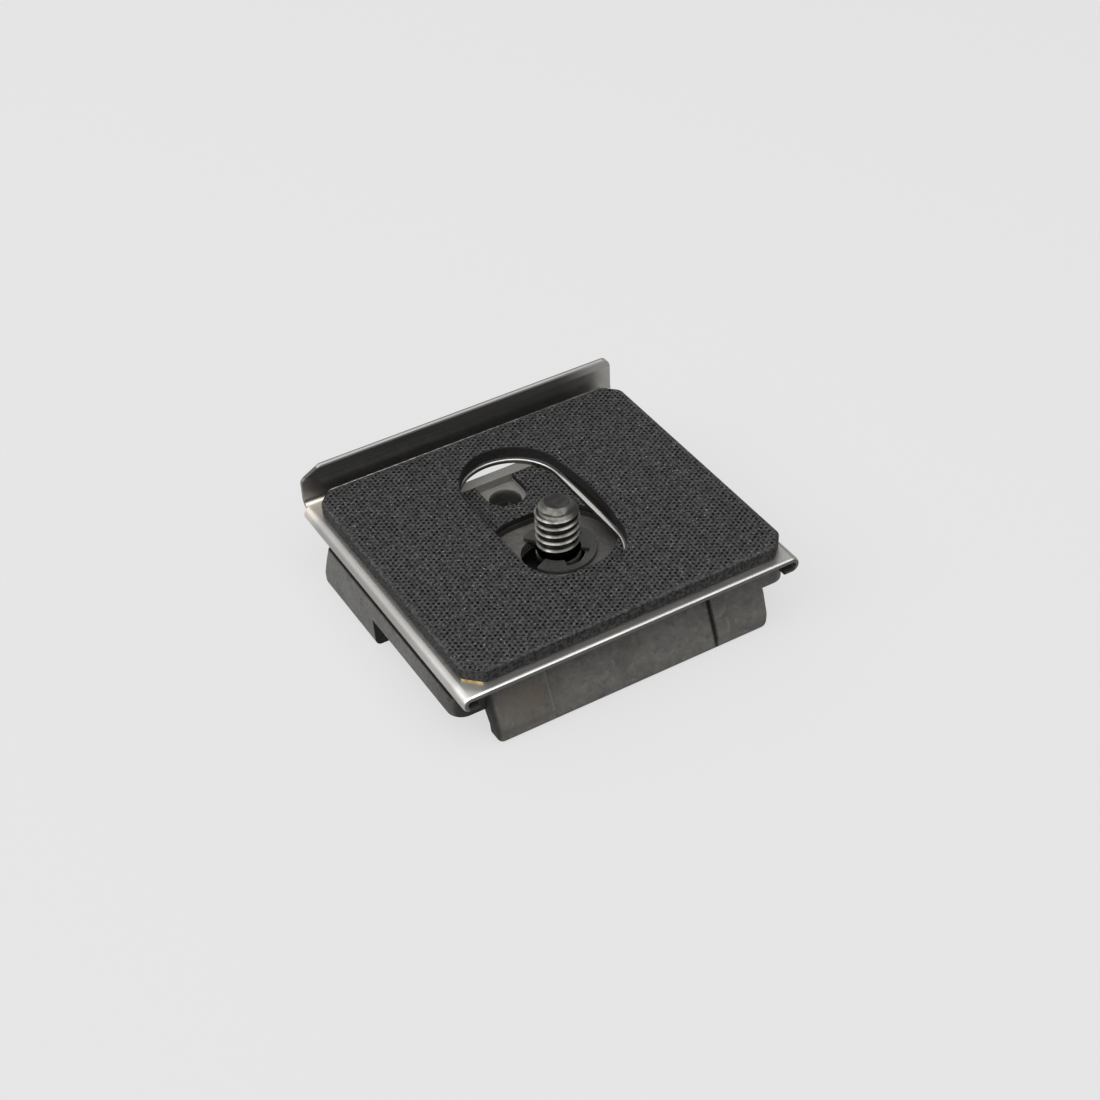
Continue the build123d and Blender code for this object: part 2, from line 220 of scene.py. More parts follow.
def shade(colour, amount):
    """A colour made darker or brighter."""
    return tuple(amount * part for part in colour)


def add_bump(tree, shader, height, strength, distance):
    """Lets a height bend the shading. The distance is in millimetres."""
    bump = add_node(tree, "ShaderNodeBump", Strength=strength, Distance=distance * MM, Height=height)
    tree.links.new(bump.outputs["Normal"], shader.inputs["Normal"])


def start_material(name):
    """An empty material with a Principled shader and the piece's own coordinates in millimetres."""
    material = bpy.data.materials.new(name)
    material.use_nodes = True
    tree = material.node_tree
    metres = add_node(tree, "ShaderNodeTexCoord").outputs["Object"]
    place = vector_math(tree, "SCALE", metres, Scale=1 / MM)[0]
    return material, tree, tree.nodes["Principled BSDF"], place


print("material helpers ready")

# %% [markdown]
# ## Shared effects as node groups
# Two effects return in several finishes. The first is a soft mottle: paint, rubber and steel are all
# a little uneven. The second is the pit lattice of the rubber. Both are node groups, built once and
# placed in each material with their own values.


# %% Build the shared node groups
def start_group(name, inputs, outputs):
    """A node group that takes a place and some values, and gives values."""
    group = bpy.data.node_groups.new(name, "ShaderNodeTree")
    group.interface.new_socket("Place", in_out="INPUT", socket_type="NodeSocketVector")
    for title in inputs:
        group.interface.new_socket(title, in_out="INPUT", socket_type="NodeSocketFloat")
    for title in outputs:
        group.interface.new_socket(title, in_out="OUTPUT", socket_type="NodeSocketFloat")
    return group, group.nodes.new("NodeGroupInput").outputs, group.nodes.new("NodeGroupOutput").inputs


def build_mottle():
    """Cloudy and fine unevenness, each from 0 to 1, in patches of the given sizes per millimetre."""
    group, given, result = start_group("mottle", ("Cloud Scale", "Grain Scale"), ("Cloud", "Grain"))
    for title, detail in (("Cloud", 4.0), ("Grain", 2.0)):
        uneven = noise(group, given["Place"], given[title + " Scale"], detail)["Fac"]
        group.links.new(ramp(group, uneven, 0.3, 0.7), result[title])
    return group


def build_pit_lattice():
    """Staggered columns of small pits: three waves that peak together at each pit."""
    inputs = ("Column Pitch", "Row Pitch", "Waver")
    group, given, result = start_group("pit_lattice", inputs, ("Pits", "Height"))
    drift = noise(group, given["Place"], 0.9, 3.0)["Color"]
    drift = vector_math(group, "SUBTRACT", drift, (0.5, 0.5, 0.5))[0]
    drift = vector_math(group, "SCALE", drift, Scale=given["Waver"])[0]
    axes = split(group, vector_math(group, "ADD", given["Place"], drift)[0])
    column = math(group, "DIVIDE", axes["X"], given["Column Pitch"])
    row = math(group, "DIVIDE", axes["Y"], given["Row Pitch"])
    half_column = math(group, "MULTIPLY", column, 0.5)
    waves = (
        (column, 1.2),
        (math(group, "ADD", half_column, row), 0.7),
        (math(group, "SUBTRACT", half_column, row), 1.5),
    )
    total = 0.0
    for wave, weight in waves:
        crest = math(group, "COSINE", math(group, "MULTIPLY", wave, 2 * pi))
        total = math(group, "ADD", total, math(group, "MULTIPLY", crest, weight))
    group.links.new(ramp(group, total, 0.0, 1.2), result["Pits"])
    group.links.new(ramp(group, total, -1.2, 2.0, 1.0, 0.0), result["Height"])
    return group


def use_group(tree, group, **inputs):
    """Places a node group in a material."""
    node = tree.nodes.new("ShaderNodeGroup")
    node.node_tree = group
    for name, value in inputs.items():
        feed(tree, node.inputs[name.replace("_", " ")], value)
    return node.outputs


mottle_group = build_mottle()
pit_group = build_pit_lattice()
print("groups:", mottle_group.name, pit_group.name)

# %% [markdown]
# ## Rubber
# The pads are black rubber with a fine grip: dark pits in staggered columns, close together like a
# weave. Some pits are filled with dust, they run out towards the edges, and small light specks show
# where the surface is scuffed. The upper edge at the back is lighter. Only the top has pits; the cut
# side walls are smooth, and those of the opening are painted darker as shade. The pits could be
# modelled one by one, but there are thousands of them and each is a third of a millimetre wide, so
# they are drawn by nodes as colour and as bump.

# %% Measure the grip
rubber_colour = (0.043, 0.043, 0.043)
pit_colour = (0.001, 0.001, 0.001)
speck_colour = (0.36, 0.36, 0.34)
back_edge_colour = (0.5, 0.49, 0.46)
pit_pitches = {"Column_Pitch": 0.628, "Row_Pitch": 0.764, "Waver": 0.12}
pit_border = 1.0
opening_reach_x = 10.0
opening_reach_y = 18.0


def inside_border(tree, axis, low, high):
    """0 at either end of an axis and 1 from the border of the pits on."""
    return near(tree, axis, (low + high) / 2, (high - low) / 2 - pit_border, pit_border)


def lighter_back_edge(tree, axes, dust):
    """The upper edge along the back of the pad, less to the right."""
    return product(
        tree,
        near(tree, axes["Y"], pad_high.y - 0.15, 0.1, 0.1),
        ramp(tree, axes["Z"], pad_high.z - 0.3, pad_high.z - 0.1, 0.0, 0.8),
        ramp(tree, dust, 0.38, 0.58, 0.35, 1.0),
        ramp(tree, axes["X"], -10.0, 12.0, 1.0, 0.3),
    )


print("pits every", pit_pitches["Column_Pitch"], "by", pit_pitches["Row_Pitch"], "mm")

# %% [markdown]
# The material lays these on one another, from the plain skin to the specks. A face's normal tells
# whether it is the top or a cut wall.


# %% Make the rubber
def make_rubber(name):
    """Rubber with pits on top and smooth walls where it was cut."""
    material, tree, shader, place = start_material(name)
    axes = split(tree, place)
    facing = add_node(tree, "ShaderNodeTexCoord").outputs["Normal"]
    top = ramp(tree, split(tree, facing)["Z"], 0.8, 0.95)
    pits = use_group(tree, pit_group, Place=place, **pit_pitches)
    patches = use_group(tree, mottle_group, Place=place, Cloud_Scale=0.12, Grain_Scale=2.6)
    dust = noise(tree, place, 1.1, 2.0)["Fac"]
    kept = product(
        tree,
        top,
        ramp(tree, dust, 0.4, 0.62, 1.0, 0.55),
        inside_border(tree, axes["X"], pad_low.x, pad_high.x),
        inside_border(tree, axes["Y"], pad_low.y, pad_high.y),
    )
    specks = product(tree, ramp(tree, noise(tree, place, 3.4, 1.0)["Fac"], 0.705, 0.745), top, 0.7)
    brighter = shade(rubber_colour, 1.85)
    skin = blend(tree, patches["Grain"], shade(rubber_colour, 0.7), brighter)
    rough_cut = blend(tree, patches["Grain"], shade(rubber_colour, 0.6), brighter)
    # Painted shade: the cut walls of the opening are darker than the outer ones.
    at_opening = product(
        tree,
        near(tree, axes["X"], 0.0, opening_reach_x, 0.5),
        near(tree, axes["Y"], 0.0, opening_reach_y, 0.5),
    )
    cut_wall_and_opening_shade = blend(tree, at_opening, rough_cut, shade(rubber_colour, 0.5))
    colour = blend(tree, top, cut_wall_and_opening_shade, skin)
    colour = blend(tree, product(tree, pits["Pits"], kept), colour, pit_colour)
    colour = blend(tree, specks, colour, speck_colour)
    colour = blend(tree, lighter_back_edge(tree, axes, dust), colour, back_edge_colour)
    tree.links.new(colour, shader.inputs["Base Color"])
    tree.links.new(ramp(tree, patches["Cloud"], 0.0, 1.0, 0.62, 0.8), shader.inputs["Roughness"])
    shader.inputs["Specular IOR Level"].default_value = 0.08
    height = product(tree, pits["Height"], kept)
    height = math(tree, "ADD", height, product(tree, patches["Grain"], 0.35))
    add_bump(tree, shader, height, strength=0.9, distance=0.16)
    return material


rubber = make_rubber("grip_rubber")
print("material:", rubber.name)

# %% [markdown]
# ## Marks on the sheet
# The folded sheet has been in use, and light and shade are painted on it as well. The inside of its
# folds is painted dark as shade, the strip at its left is darker next to the pad, and a little adhesive
# has run out at the front left corner of the pad, with a brown shade painted on the sheet below it.
# The sheet's own corner there has painted light, the one at the back is pale and brownish, and the cut
# front is painted dark as shade. Below its edge the lip is painted dark as its reflection of the pad,
# with a painted highlight along its crease, and the wall of the opening is painted dark as shade. Each
# mark is a mask with a colour, and they are laid on one after another.


# %% Mark the folds, the lip and the opening
def shaded_fold_insides(tree, axes):
    """The inside of the rolled sides, where shade is painted."""
    sideways = math(tree, "ABSOLUTE", axes["X"])
    inside = ramp(tree, sideways, sheet_high.x - 0.95, sheet_high.x - 0.75, 1.0, 0.0)
    return product(tree, inside, ramp(tree, axes["Z"], sheet_face - 0.8, sheet_face - 0.6, 1.0, 0.0))


def darker_left_strip(tree, axes):
    """The strip at the left of the pad, darker next to it, apart from its ends."""
    return product(
        tree,
        ramp(tree, axes["X"], pad_low.x + 0.1, pad_low.x + 0.7, 0.4, 0.0),
        ramp(tree, axes["Y"], -17.0, -5.0),
        ramp(tree, axes["Y"], 17.5, 20.0, 1.0, 0.0),
    )


def painted_lip_reflection(tree, axes):
    """Painted dark reflection below the lip's edge, less at the right end, a painted highlight at the
    crease; and the back.
    """
    # The pad's dark reflection is painted on the lip, with a painted highlight along the crease.
    pad_reflection = ramp(tree, axes["Z"], sheet_high.z - 1.5, sheet_high.z - 1.1, 0.68, 0.87)
    crease = near(tree, axes["Z"], sheet_high.z - 1.35, 0.06, 0.2)
    front = product(
        tree,
        math(tree, "SUBTRACT", pad_reflection, product(tree, crease, 0.14)),
        ramp(tree, axes["Z"], sheet_high.z - 0.3, sheet_high.z - 0.15, 1.0, 0.0),
        ramp(tree, axes["X"], 16.0, 23.5, 1.0, 0.35),
        ramp(tree, axes["Y"], sheet_high.y - 1.5, sheet_high.y - 1.0),
    )
    back = ramp(tree, axes["Y"], sheet_high.y - 0.25, sheet_high.y - 0.15, 0.0, 0.8)
    return math(tree, "MAXIMUM", front, back)


def shaded_opening_wall(tree, axes):
    """The wall of the opening, below its drawn edge, painted dark as shade."""
    return product(
        tree,
        ramp(tree, axes["Z"], sheet_face - 0.25, sheet_face - 0.15, 0.85, 0.0),
        near(tree, axes["X"], 0.0, opening_reach_x - 0.5, 0.3),
        near(tree, axes["Y"], 0.0, opening_reach_y, 0.3),
    )


print("lip from", round(sheet_face, 2), "to", round(sheet_high.z, 2), "mm above the ground")

# %% [markdown]
# The corners are marked with round patches, and a list then puts all the marks in order. A later mark
# covers an earlier one, as the painted shade of the cut front covers the painted light of the corner.


# %% List the marks of the sheet
def sheet_marks(tree, place, axes, fold_shade, grain):
    """The marks as masks and colours, in the order in which they are laid on."""
    bead_shade_point = (pad_low.x + 0.75, pad_low.y + 0.45, sheet_face)
    corner_light_point = (sheet_low.x + 1.6, sheet_low.y + 1.2, sheet_face)
    back_corner = (sheet_low.x + 1.5, sheet_high.y - 2.0, sheet_face)
    # Painted brown shade on the steel just below the bead of adhesive.
    bead_shade = product(tree, patch(tree, place, bead_shade_point, 0.4, 1.3, 0.45), grain)
    # Painted light: the flat by the front left corner is brighter.
    painted_light = product(
        tree,
        patch(tree, place, corner_light_point, 1.2, 3.2, 0.9),
        ramp(tree, axes["Z"], sheet_face - 0.9, sheet_face - 0.3),
    )
    # Painted shade on the cut face of the front.
    front_cut_shade = ramp(tree, axes["Y"], sheet_low.y + 0.03, sheet_low.y + 0.1, 0.85, 0.0)
    brownish = product(
        tree,
        patch(tree, place, back_corner, 1.2, 3.8, 0.95),
        ramp(tree, axes["Z"], sheet_face + 0.1, sheet_face + 0.4, 1.0, 0.0),
    )
    # The lip's painted reflection and the opening wall's painted shade, the darker of the two.
    dark = math(tree, "MAXIMUM", painted_lip_reflection(tree, axes), shaded_opening_wall(tree, axes))
    return (
        (product(tree, fold_shade, 0.9), (0.05, 0.048, 0.045)),
        (darker_left_strip(tree, axes), (0.38, 0.375, 0.36)),
        (bead_shade, (0.2, 0.13, 0.05)),
        (painted_light, (0.97, 0.95, 0.9)),
        (front_cut_shade, (0.09, 0.09, 0.085)),
        (brownish, (0.97, 0.89, 0.79)),
        (dark, (0.07, 0.07, 0.065)),
    )


print("marks of the sheet ready")

# %% [markdown]
# ## Steel
# The sheet is satin stainless steel and the wire is drawn. Rolling and drawing leave long fine lines,
# so a noise stretched along one axis varies the roughness and gives a slight bump. An anisotropic
# shader could do the same, but the lines would not show. Smudges make the finish less even.


# %% Make the steels
def make_steel(name, colour, roughness, line_stretch, with_marks):
    """Steel with fine lines, and where it is marked, with the sheet's marks and its painted light and
    shade.
    """
    material, tree, shader, place = start_material(name)
    shader.inputs["Metallic"].default_value = 1.0
    stretched = add_node(tree, "ShaderNodeMapping", Vector=place, Scale=line_stretch).outputs[0]
    lines = noise(tree, stretched, 1.0, 3.0)["Fac"]
    patches = use_group(tree, mottle_group, Place=place, Cloud_Scale=0.1, Grain_Scale=1.4)
    steel = blend(tree, patches["Cloud"], colour, shade(colour, 0.88))
    satin = ramp(tree, lines, 0.3, 0.7, roughness - 0.03, roughness + 0.03)
    satin = math(tree, "ADD", satin, product(tree, patches["Cloud"], 0.04))
    if with_marks:
        axes = split(tree, place)
        # Painted shade inside the rolled sides, which are also rougher there.
        fold_shade = shaded_fold_insides(tree, axes)
        for mask, mark_colour in sheet_marks(tree, place, axes, fold_shade, patches["Grain"]):
            steel = blend(tree, mask, steel, mark_colour)
        satin = math(tree, "ADD", satin, product(tree, fold_shade, 0.25))
    tree.links.new(steel, shader.inputs["Base Color"])
    tree.links.new(satin, shader.inputs["Roughness"])
    add_bump(tree, shader, lines, strength=0.06, distance=0.01)
    return material


sheet_steel = make_steel("satin_sheet_steel", (0.7, 0.69, 0.665), 0.38, (0.25, 9.0, 9.0), with_marks=True)
wire_steel = make_steel("drawn_wire_steel", (0.66, 0.66, 0.65), 0.22, (6.0, 0.6, 6.0), with_marks=False)
print("materials:", sheet_steel.name, wire_steel.name)

# %% [markdown]
# ## Painted shade on the casting
# Shade is painted black where things meet: in the grooves that the sheet slides in, in the locating
# hole, at the end of the front skirt, at the side foot and along one shoulder of the front panel. The
# left face is darker towards the front. The strongest of these masks counts at each place.

# %% Mark the painted shade
locating_hole = (0.0, 10.85, 0.0)
locating_hole_radius = 2.4
front_wall = -20.0
panel_shoulder = 12.85
skirt_end = -20.9
side_foot_front = 2.05
painted_shade_colour = (0.008, 0.0075, 0.007)


def in_front(tree, axes, strength):
    """The front wall of the foot."""
    return ramp(tree, axes["Y"], front_wall - 1.0, front_wall, strength, 0.0)


def mark_painted_shade(tree, place, axes):
    """Where shade is painted black on the casting, and the left face darker towards the front."""
    sideways = math(tree, "ABSOLUTE", axes["X"])
    from_above = flattened(tree, place)
    inner, outer = locating_hole_radius - 0.05, locating_hole_radius + 0.15
    # Each mask here is painted shade, apart from the left face, which is only darker towards the front.
    hole = product(
        tree,
        patch(tree, from_above, locating_hole, inner, outer, 1.0),
        ramp(tree, axes["Z"], 7.6, 8.5, 1.0, 0.0),
    )
    groove = product(
        tree,
        ramp(tree, axes["Z"], sheet_low.z - 0.35, sheet_low.z - 0.25),
        near(tree, sideways, 22.0, 4.0, 0.12),
    )
    at_wall = in_front(tree, axes, 1.0)
    skirt = product(tree, at_wall, ramp(tree, axes["X"], skirt_end - 0.4, skirt_end + 0.2, 0.8, 0.0))
    shoulder = product(tree, at_wall, near(tree, axes["X"], panel_shoulder, 0.12, 0.25), 0.85)
    side_foot = product(
        tree,
        ramp(tree, sideways, 18.0, 20.0),
        near(tree, axes["Y"], side_foot_front, 0.04, 0.06),
        ramp(tree, axes["Z"], 4.6, 4.9, 0.95, 0.0),
    )
    # The left face is darker towards the front.
    darker_to_front = product(
        tree,
        ramp(tree, axes["X"], -25.6, -25.0, 1.0, 0.0),
        ramp(tree, axes["Y"], -23.0, -8.0, 0.5, 0.0),
    )
    dark = hole
    for mask in (groove, skirt, shoulder, side_foot, darker_to_front):
        dark = math(tree, "MAXIMUM", dark, mask)
    return dark


# The casting's painted shade is ready.
print("dirt of the casting ready")

# %% [markdown]
# ## Painted casting
# The base is die-cast and painted in a dark satin grey, which is cloudy and has a faint orange peel.
# A brownish stain lies on the front wall, one shoulder of its panel has a painted highlight, and the
# machined rim behind the locating hole is painted paler as light from above. The recess for the screw
# has painted shade: a darker floor and a black wall. Again each of these is a mask with a colour, and
# the black painted shade comes last.

# %% List the marks of the paint
stain_place = (-16.0, -22.9, 5.2)
blemish_place = (-26.25, 5.3, 5.8)
recess_middle_x = 0.9
recess_middle_y = -2.4
recess_half_width = 9.0
recess_half_length = 7.0
recess_floor = 8.05


def paint_marks(tree, place, axes, cloudy, grain):
    """The marks as masks and colours, in the order in which they are laid on."""
    stain = product(
        tree,
        patch(tree, place, stain_place, 1.0, 6.5, 0.75),
        ramp(tree, cloudy, 0.38, 0.6, 0.15, 1.0),
    )
    # Painted highlight along the left shoulder of the front panel.
    shoulder = near(tree, axes["X"], -panel_shoulder - 0.1, 0.06, 0.14)
    painted_light = product(tree, shoulder, in_front(tree, axes, 0.5))
    # Painted light on the top of the rim, as lit from above.
    rim = product(tree, ramp(tree, axes["Z"], 8.3, 8.5), ramp(tree, axes["Y"], 9.0, 10.0), 0.8)
    # Painted shade: the floor of the recess is darker, most of all to the right.
    recess = product(
        tree,
        near(tree, axes["Z"], recess_floor, 0.1, 0.1),
        near(tree, axes["X"], recess_middle_x, recess_half_width, 1.0),
        ramp(tree, axes["X"], -3.0, 6.0, 0.3, 0.9),
    )
    # Painted shade: the wall of the recess is black.
    recess_wall_shade = product(
        tree,
        ramp(tree, axes["Z"], recess_floor + 0.07, recess_floor + 0.17, 0.0, 0.85),
        near(tree, axes["X"], recess_middle_x, recess_half_width, 0.5),
        near(tree, axes["Y"], recess_middle_y, recess_half_length, 0.5),
    )
    blemish = patch(tree, place, blemish_place, 0.2, 1.0, 0.9)
    return (
        (ramp(tree, cloudy, 0.48, 0.7, 0.0, 0.7), (0.215, 0.205, 0.185)),
        (ramp(tree, cloudy, 0.3, 0.47, 0.6, 0.0), (0.062, 0.06, 0.055)),
        (stain, (0.15, 0.113, 0.083)),
        (painted_light, (0.22, 0.21, 0.19)),
        (rim, (0.2, 0.193, 0.18)),
        (recess, (0.068, 0.066, 0.062)),
        (recess_wall_shade, painted_shade_colour),
        (product(tree, blemish, ramp(tree, grain, 0.35, 0.65)), (0.03, 0.029, 0.027)),
    )


print("marks of the paint ready")

# %% [markdown]
# The paint itself is cloudy at two scales. Its orange peel is a bump of less than a tenth of a
# millimetre, and it is rougher where shade is painted.


# %% Make the casting's paint
def make_cast_paint():
    """Dark satin paint with its marks and its painted shade."""
    material, tree, shader, place = start_material("cast_paint")
    axes = split(tree, place)
    patches = use_group(tree, mottle_group, Place=place, Cloud_Scale=0.25, Grain_Scale=1.6)
    cloudy = noise(tree, place, 0.9, 8.0, Roughness=0.65, Distortion=0.8)["Fac"]
    paint = blend(tree, patches["Cloud"], (0.11, 0.108, 0.099), (0.147, 0.145, 0.135))
    painted_shade = mark_painted_shade(tree, place, axes)
    marks = paint_marks(tree, place, axes, cloudy, patches["Grain"])
    for mask, mark_colour in (*marks, (painted_shade, painted_shade_colour)):
        paint = blend(tree, mask, paint, mark_colour)
    tree.links.new(paint, shader.inputs["Base Color"])
    satin = ramp(tree, patches["Grain"], 0.0, 1.0, 0.4, 0.5)
    satin = math(tree, "ADD", satin, product(tree, painted_shade, 0.3))
    tree.links.new(satin, shader.inputs["Roughness"])
    relief = math(tree, "ADD", patches["Grain"], product(tree, cloudy, 2.0))
    add_bump(tree, shader, relief, strength=0.6, distance=0.07)
    return material


cast_paint = make_cast_paint()
print("material:", cast_paint.name)

# %% [markdown]
# ## Black-oxide steel
# Screw and retaining ring are blackened steel. The black wears off where something rubs, which on a
# screw is the crest of its thread, so the distance from the screw's axis fades in bare metal. The
# chamfer at the tip is worn as well, and the head keeps its black.

# %% Make the blackened steel
screw_axis = (screw_low + screw_high) / 2
screw_mount = next(mount for mount in frame["record"]["mounts"] if mount["name"] == "camera_screw")
thread_radius = screw_mount["dims"]["r_mm"]


def bare_metal(tree, place, cloud):
    """Where the black is worn off the screw."""
    radius = distance_from(tree, flattened(tree, place), (screw_axis.x, screw_axis.y, 0.0))
    height = split(tree, place)["Z"]
    crests = product(
        tree,
        ramp(tree, radius, thread_radius - 0.4, thread_radius - 0.06),
        ramp(tree, cloud, 0.1, 0.9, 0.3, 1.0),
        0.9,
    )
    tip = product(
        tree,
        ramp(tree, height, screw_high.z - 1.5, screw_high.z - 1.3),
        ramp(tree, cloud, 0.2, 0.8, 0.6, 1.3),
        ramp(tree, height, screw_high.z - 0.12, screw_high.z - 0.02, 0.31, 0.105),
    )
    above_head = ramp(tree, height, screw_low.z + 4.0, screw_low.z + 5.5)
    return product(tree, math(tree, "MAXIMUM", crests, tip), above_head)


def make_black_steel(name, metallic, roughness, worn):
    """Blackened steel, with bare metal where the screw is worn."""
    material, tree, shader, place = start_material(name)
    shader.inputs["Metallic"].default_value = metallic
    patches = use_group(tree, mottle_group, Place=place, Cloud_Scale=0.5, Grain_Scale=5.0)
    if worn:
        bare = bare_metal(tree, place, patches["Cloud"])
        colour = blend(tree, bare, (0.01, 0.01, 0.0095), (0.44, 0.43, 0.39))
        shader.inputs["Specular IOR Level"].default_value = 0.15
    else:
        colour = blend(tree, patches["Grain"], (0.036, 0.035, 0.034), (0.052, 0.051, 0.049))
    tree.links.new(colour, shader.inputs["Base Color"])
    satin = ramp(tree, patches["Cloud"], 0.0, 1.0, roughness - 0.06, roughness + 0.06)
    tree.links.new(satin, shader.inputs["Roughness"])
    add_bump(tree, shader, patches["Grain"], strength=0.2, distance=0.02)
    return material


thread_steel = make_black_steel("thread_steel", metallic=0.8, roughness=0.34, worn=True)
clip_steel = make_black_steel("clip_steel", metallic=0.0, roughness=0.5, worn=False)
print("materials:", thread_steel.name, clip_steel.name)

# %% [markdown]
# ## Adhesive
# The film under the top pad is dark along most of its edge. At the front left corner it shows as an
# amber line, so the distance from that corner mixes the two colours.


# %% Make the adhesive
def make_adhesive():
    """A film that is amber at one corner and dark elsewhere."""
    material, tree, shader, place = start_material("amber_film")
    patches = use_group(tree, mottle_group, Place=place, Cloud_Scale=1.2, Grain_Scale=3.0)
    amber = blend(tree, patches["Cloud"], (0.3, 0.19, 0.05), (0.66, 0.5, 0.22))
    amber_corner = patch(tree, place, pad_low, 2.25, 2.6, 1.0)
    tree.links.new(blend(tree, amber_corner, (0.012, 0.01, 0.008), amber), shader.inputs["Base Color"])
    tree.links.new(ramp(tree, patches["Grain"], 0.0, 1.0, 0.3, 0.45), shader.inputs["Roughness"])
    return material


amber_film = make_adhesive()
print("material:", amber_film.name)

# %% [markdown]
# ## From solids to soft-edged pieces
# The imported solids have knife-sharp edges, and no real metal or rubber does. A copy of a solid's mesh
# is merged, its flat areas are joined into single faces, and its sharp edges are bevelled. Weighted
# normals then keep the large faces flat while the small bevels catch the light.

# %% Helpers for soft-edged copies
merge_distance = 0.002
flat_angle = radians(0.5)
sharp_angle = radians(30)
shading_break = radians(40)


def merged_copy(node_name):
    """A copy of a solid's mesh with its loose triangles merged and its flat areas joined."""
    mesh = bmesh.new()
    mesh.from_mesh(frame["nodes"][node_name].data)
    bmesh.ops.remove_doubles(mesh, verts=mesh.verts, dist=merge_distance * MM)
    bmesh.ops.dissolve_limit(mesh, angle_limit=flat_angle, verts=mesh.verts, edges=mesh.edges)
    return mesh


def round_edges(mesh, edges, width, segments):
    """Bevels the given edges. The width is in millimetres."""
    bmesh.ops.bevel(
        mesh,
        geom=edges,
        offset=width * MM,
        offset_type="OFFSET",
        segments=segments,
        profile=0.5,
        affect="EDGES",
        clamp_overlap=True,
        material=-1,
    )


def soften_edges(mesh, width, segments, wanted=lambda middle: True, sharper_than=sharp_angle):
    """Bevels the sharp edges whose middle is wanted. Width and places are in millimetres."""
    edges = [
        edge
        for edge in mesh.edges
        if len(edge.link_faces) == 2
        and edge.calc_face_angle() > sharper_than
        and wanted((edge.verts[0].co + edge.verts[1].co) / 2 / MM)
    ]
    round_edges(mesh, edges, width, segments)
    return len(edges)


def finish_piece(mesh, name, body, material, replaced):
    """Turns a bmesh into a piece that rides on a body and stands for a solid."""
    for face in mesh.faces:
        face.smooth = True
    for edge in mesh.edges:
        edge.smooth = not (len(edge.link_faces) == 2 and edge.calc_face_angle() > shading_break)
    data = bpy.data.meshes.new(name)
    mesh.to_mesh(data)
    mesh.free()
    data.materials.append(material)
    piece = bpy.data.objects.new(name, data)
    bpy.context.scene.collection.objects.link(piece)
    normals = piece.modifiers.new("flat_faces_stay_flat", "WEIGHTED_NORMAL")
    normals.keep_sharp = True
    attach(piece, body)
    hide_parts(replaced)
    print(name, "has", len(data.polygons), "faces")


print("edge helpers ready")

# %% [markdown]
# ## The base casting
# The base is cast in one piece, with the foot, the recess for the screw and the thin slab that the
# sheet hooks round. A casting has soft edges all round, because molten metal doesn't fill a sharp
# corner. A Bevel modifier could round them too; doing it once in the mesh keeps the piece plain, with
# only its normals left to a modifier.

# %% Soften the casting
casting_mesh = merged_copy("base_plate")
softened = soften_edges(casting_mesh, width=0.2, segments=2)
print("softened", softened, "edges of the casting")
finish_piece(casting_mesh, "base_casting", "base", cast_paint, "base_plate")

# %% [markdown]
# ## The folded sheet
# The sheet has five kinds of edge: a well rounded front, the drawn edge of the opening, the soft crease
# of the lip, the lip's own edges, and all others, which are only broken a little. They could be picked
# by hand in the editor. A script picks them by where the middle of an edge lies.

# %% Tell the sheet's edges apart
roll_radius = 1.2
crease_inset = 1.2
lip_zone = 2.3


def on_front_outside(middle):
    """The outer edge of the front, along the face and round the rolled sides."""
    sideways = max(abs(middle.x) - sheet_high.x + roll_radius, 0)
    across = Vector((sideways, middle.z - sheet_face + roll_radius))
    return middle.y < sheet_low.y + 0.01 and across.length > roll_radius - 0.3


def near_opening(middle):
    """Within reach of the opening."""
    return abs(middle.x) < opening_reach_x and abs(middle.y) < opening_reach_y


def on_opening(middle):
    """The upper edge of the opening."""
    return near_opening(middle) and abs(middle.z - sheet_face) < 0.01


def on_crease(middle):
    """The bend across the lip, as far below its top as it may lie in from its back."""
    below_top = sheet_high.z - middle.z
    return middle.y > sheet_high.y - crease_inset and abs(below_top - crease_inset) < 0.05


def on_lip(middle):
    """All edges of the lip."""
    return middle.y > sheet_high.y - lip_zone


def elsewhere(middle):
    """None of these, and not at the front."""
    return middle.y > sheet_low.y + 1.1 and not on_lip(middle) and not near_opening(middle)


print("sheet from", round(sheet_low.y, 2), "to", round(sheet_high.y, 2), "mm along Y")

# %% [markdown]
# The front edge shows as one bright line: it is bevelled evenly and then drawn out along Y, so that it
# runs further back than it drops. The press that cut the opening drew its upper edge in, most of all
# in the middle of the right side, so the strip between the edge and the pad swells there.

# %% Soften the sheet
front_edge_drop = 0.32
front_edge_run = 0.54
drawn_edge_radius = 0.2
drawn_edge_wider = 0.45
crease_width = 0.3
crease_angle = radians(6)
lip_edge_radius = 0.18
broken_edge = 0.1
opening_right = 8.05
opening_middle_y = 1.9
opening_half_length = 7.8
cuts_in_side = 7
shortest_side = 10.0


def divide_right_side(mesh, x):
    """Divides the straight right side of an opening, so that it can be bulged."""
    edges = [
        edge
        for edge in mesh.edges
        if edge.calc_length() > shortest_side * MM
        and all(abs(vert.co.x / MM - x) < 0.05 for vert in edge.verts)
    ]
    bmesh.ops.subdivide_edges(mesh, edges=edges, cuts=cuts_in_side, use_grid_fill=True)


def bulge_right_side(mesh, x, amount, lowest=0.0, depth=0.0):
    """Widens the right side of an opening in the middle; with a depth the bulge grows upwards."""
    for vert in mesh.verts:
        place = vert.co / MM
        along = (place.y - opening_middle_y) / opening_half_length
        share = (place.z - lowest) / depth if depth else 1.0
        if abs(along) < 1 and abs(place.x - x) < 0.4 and share > 0:
            vert.co.x += amount * MM * (1 - along * along) * share


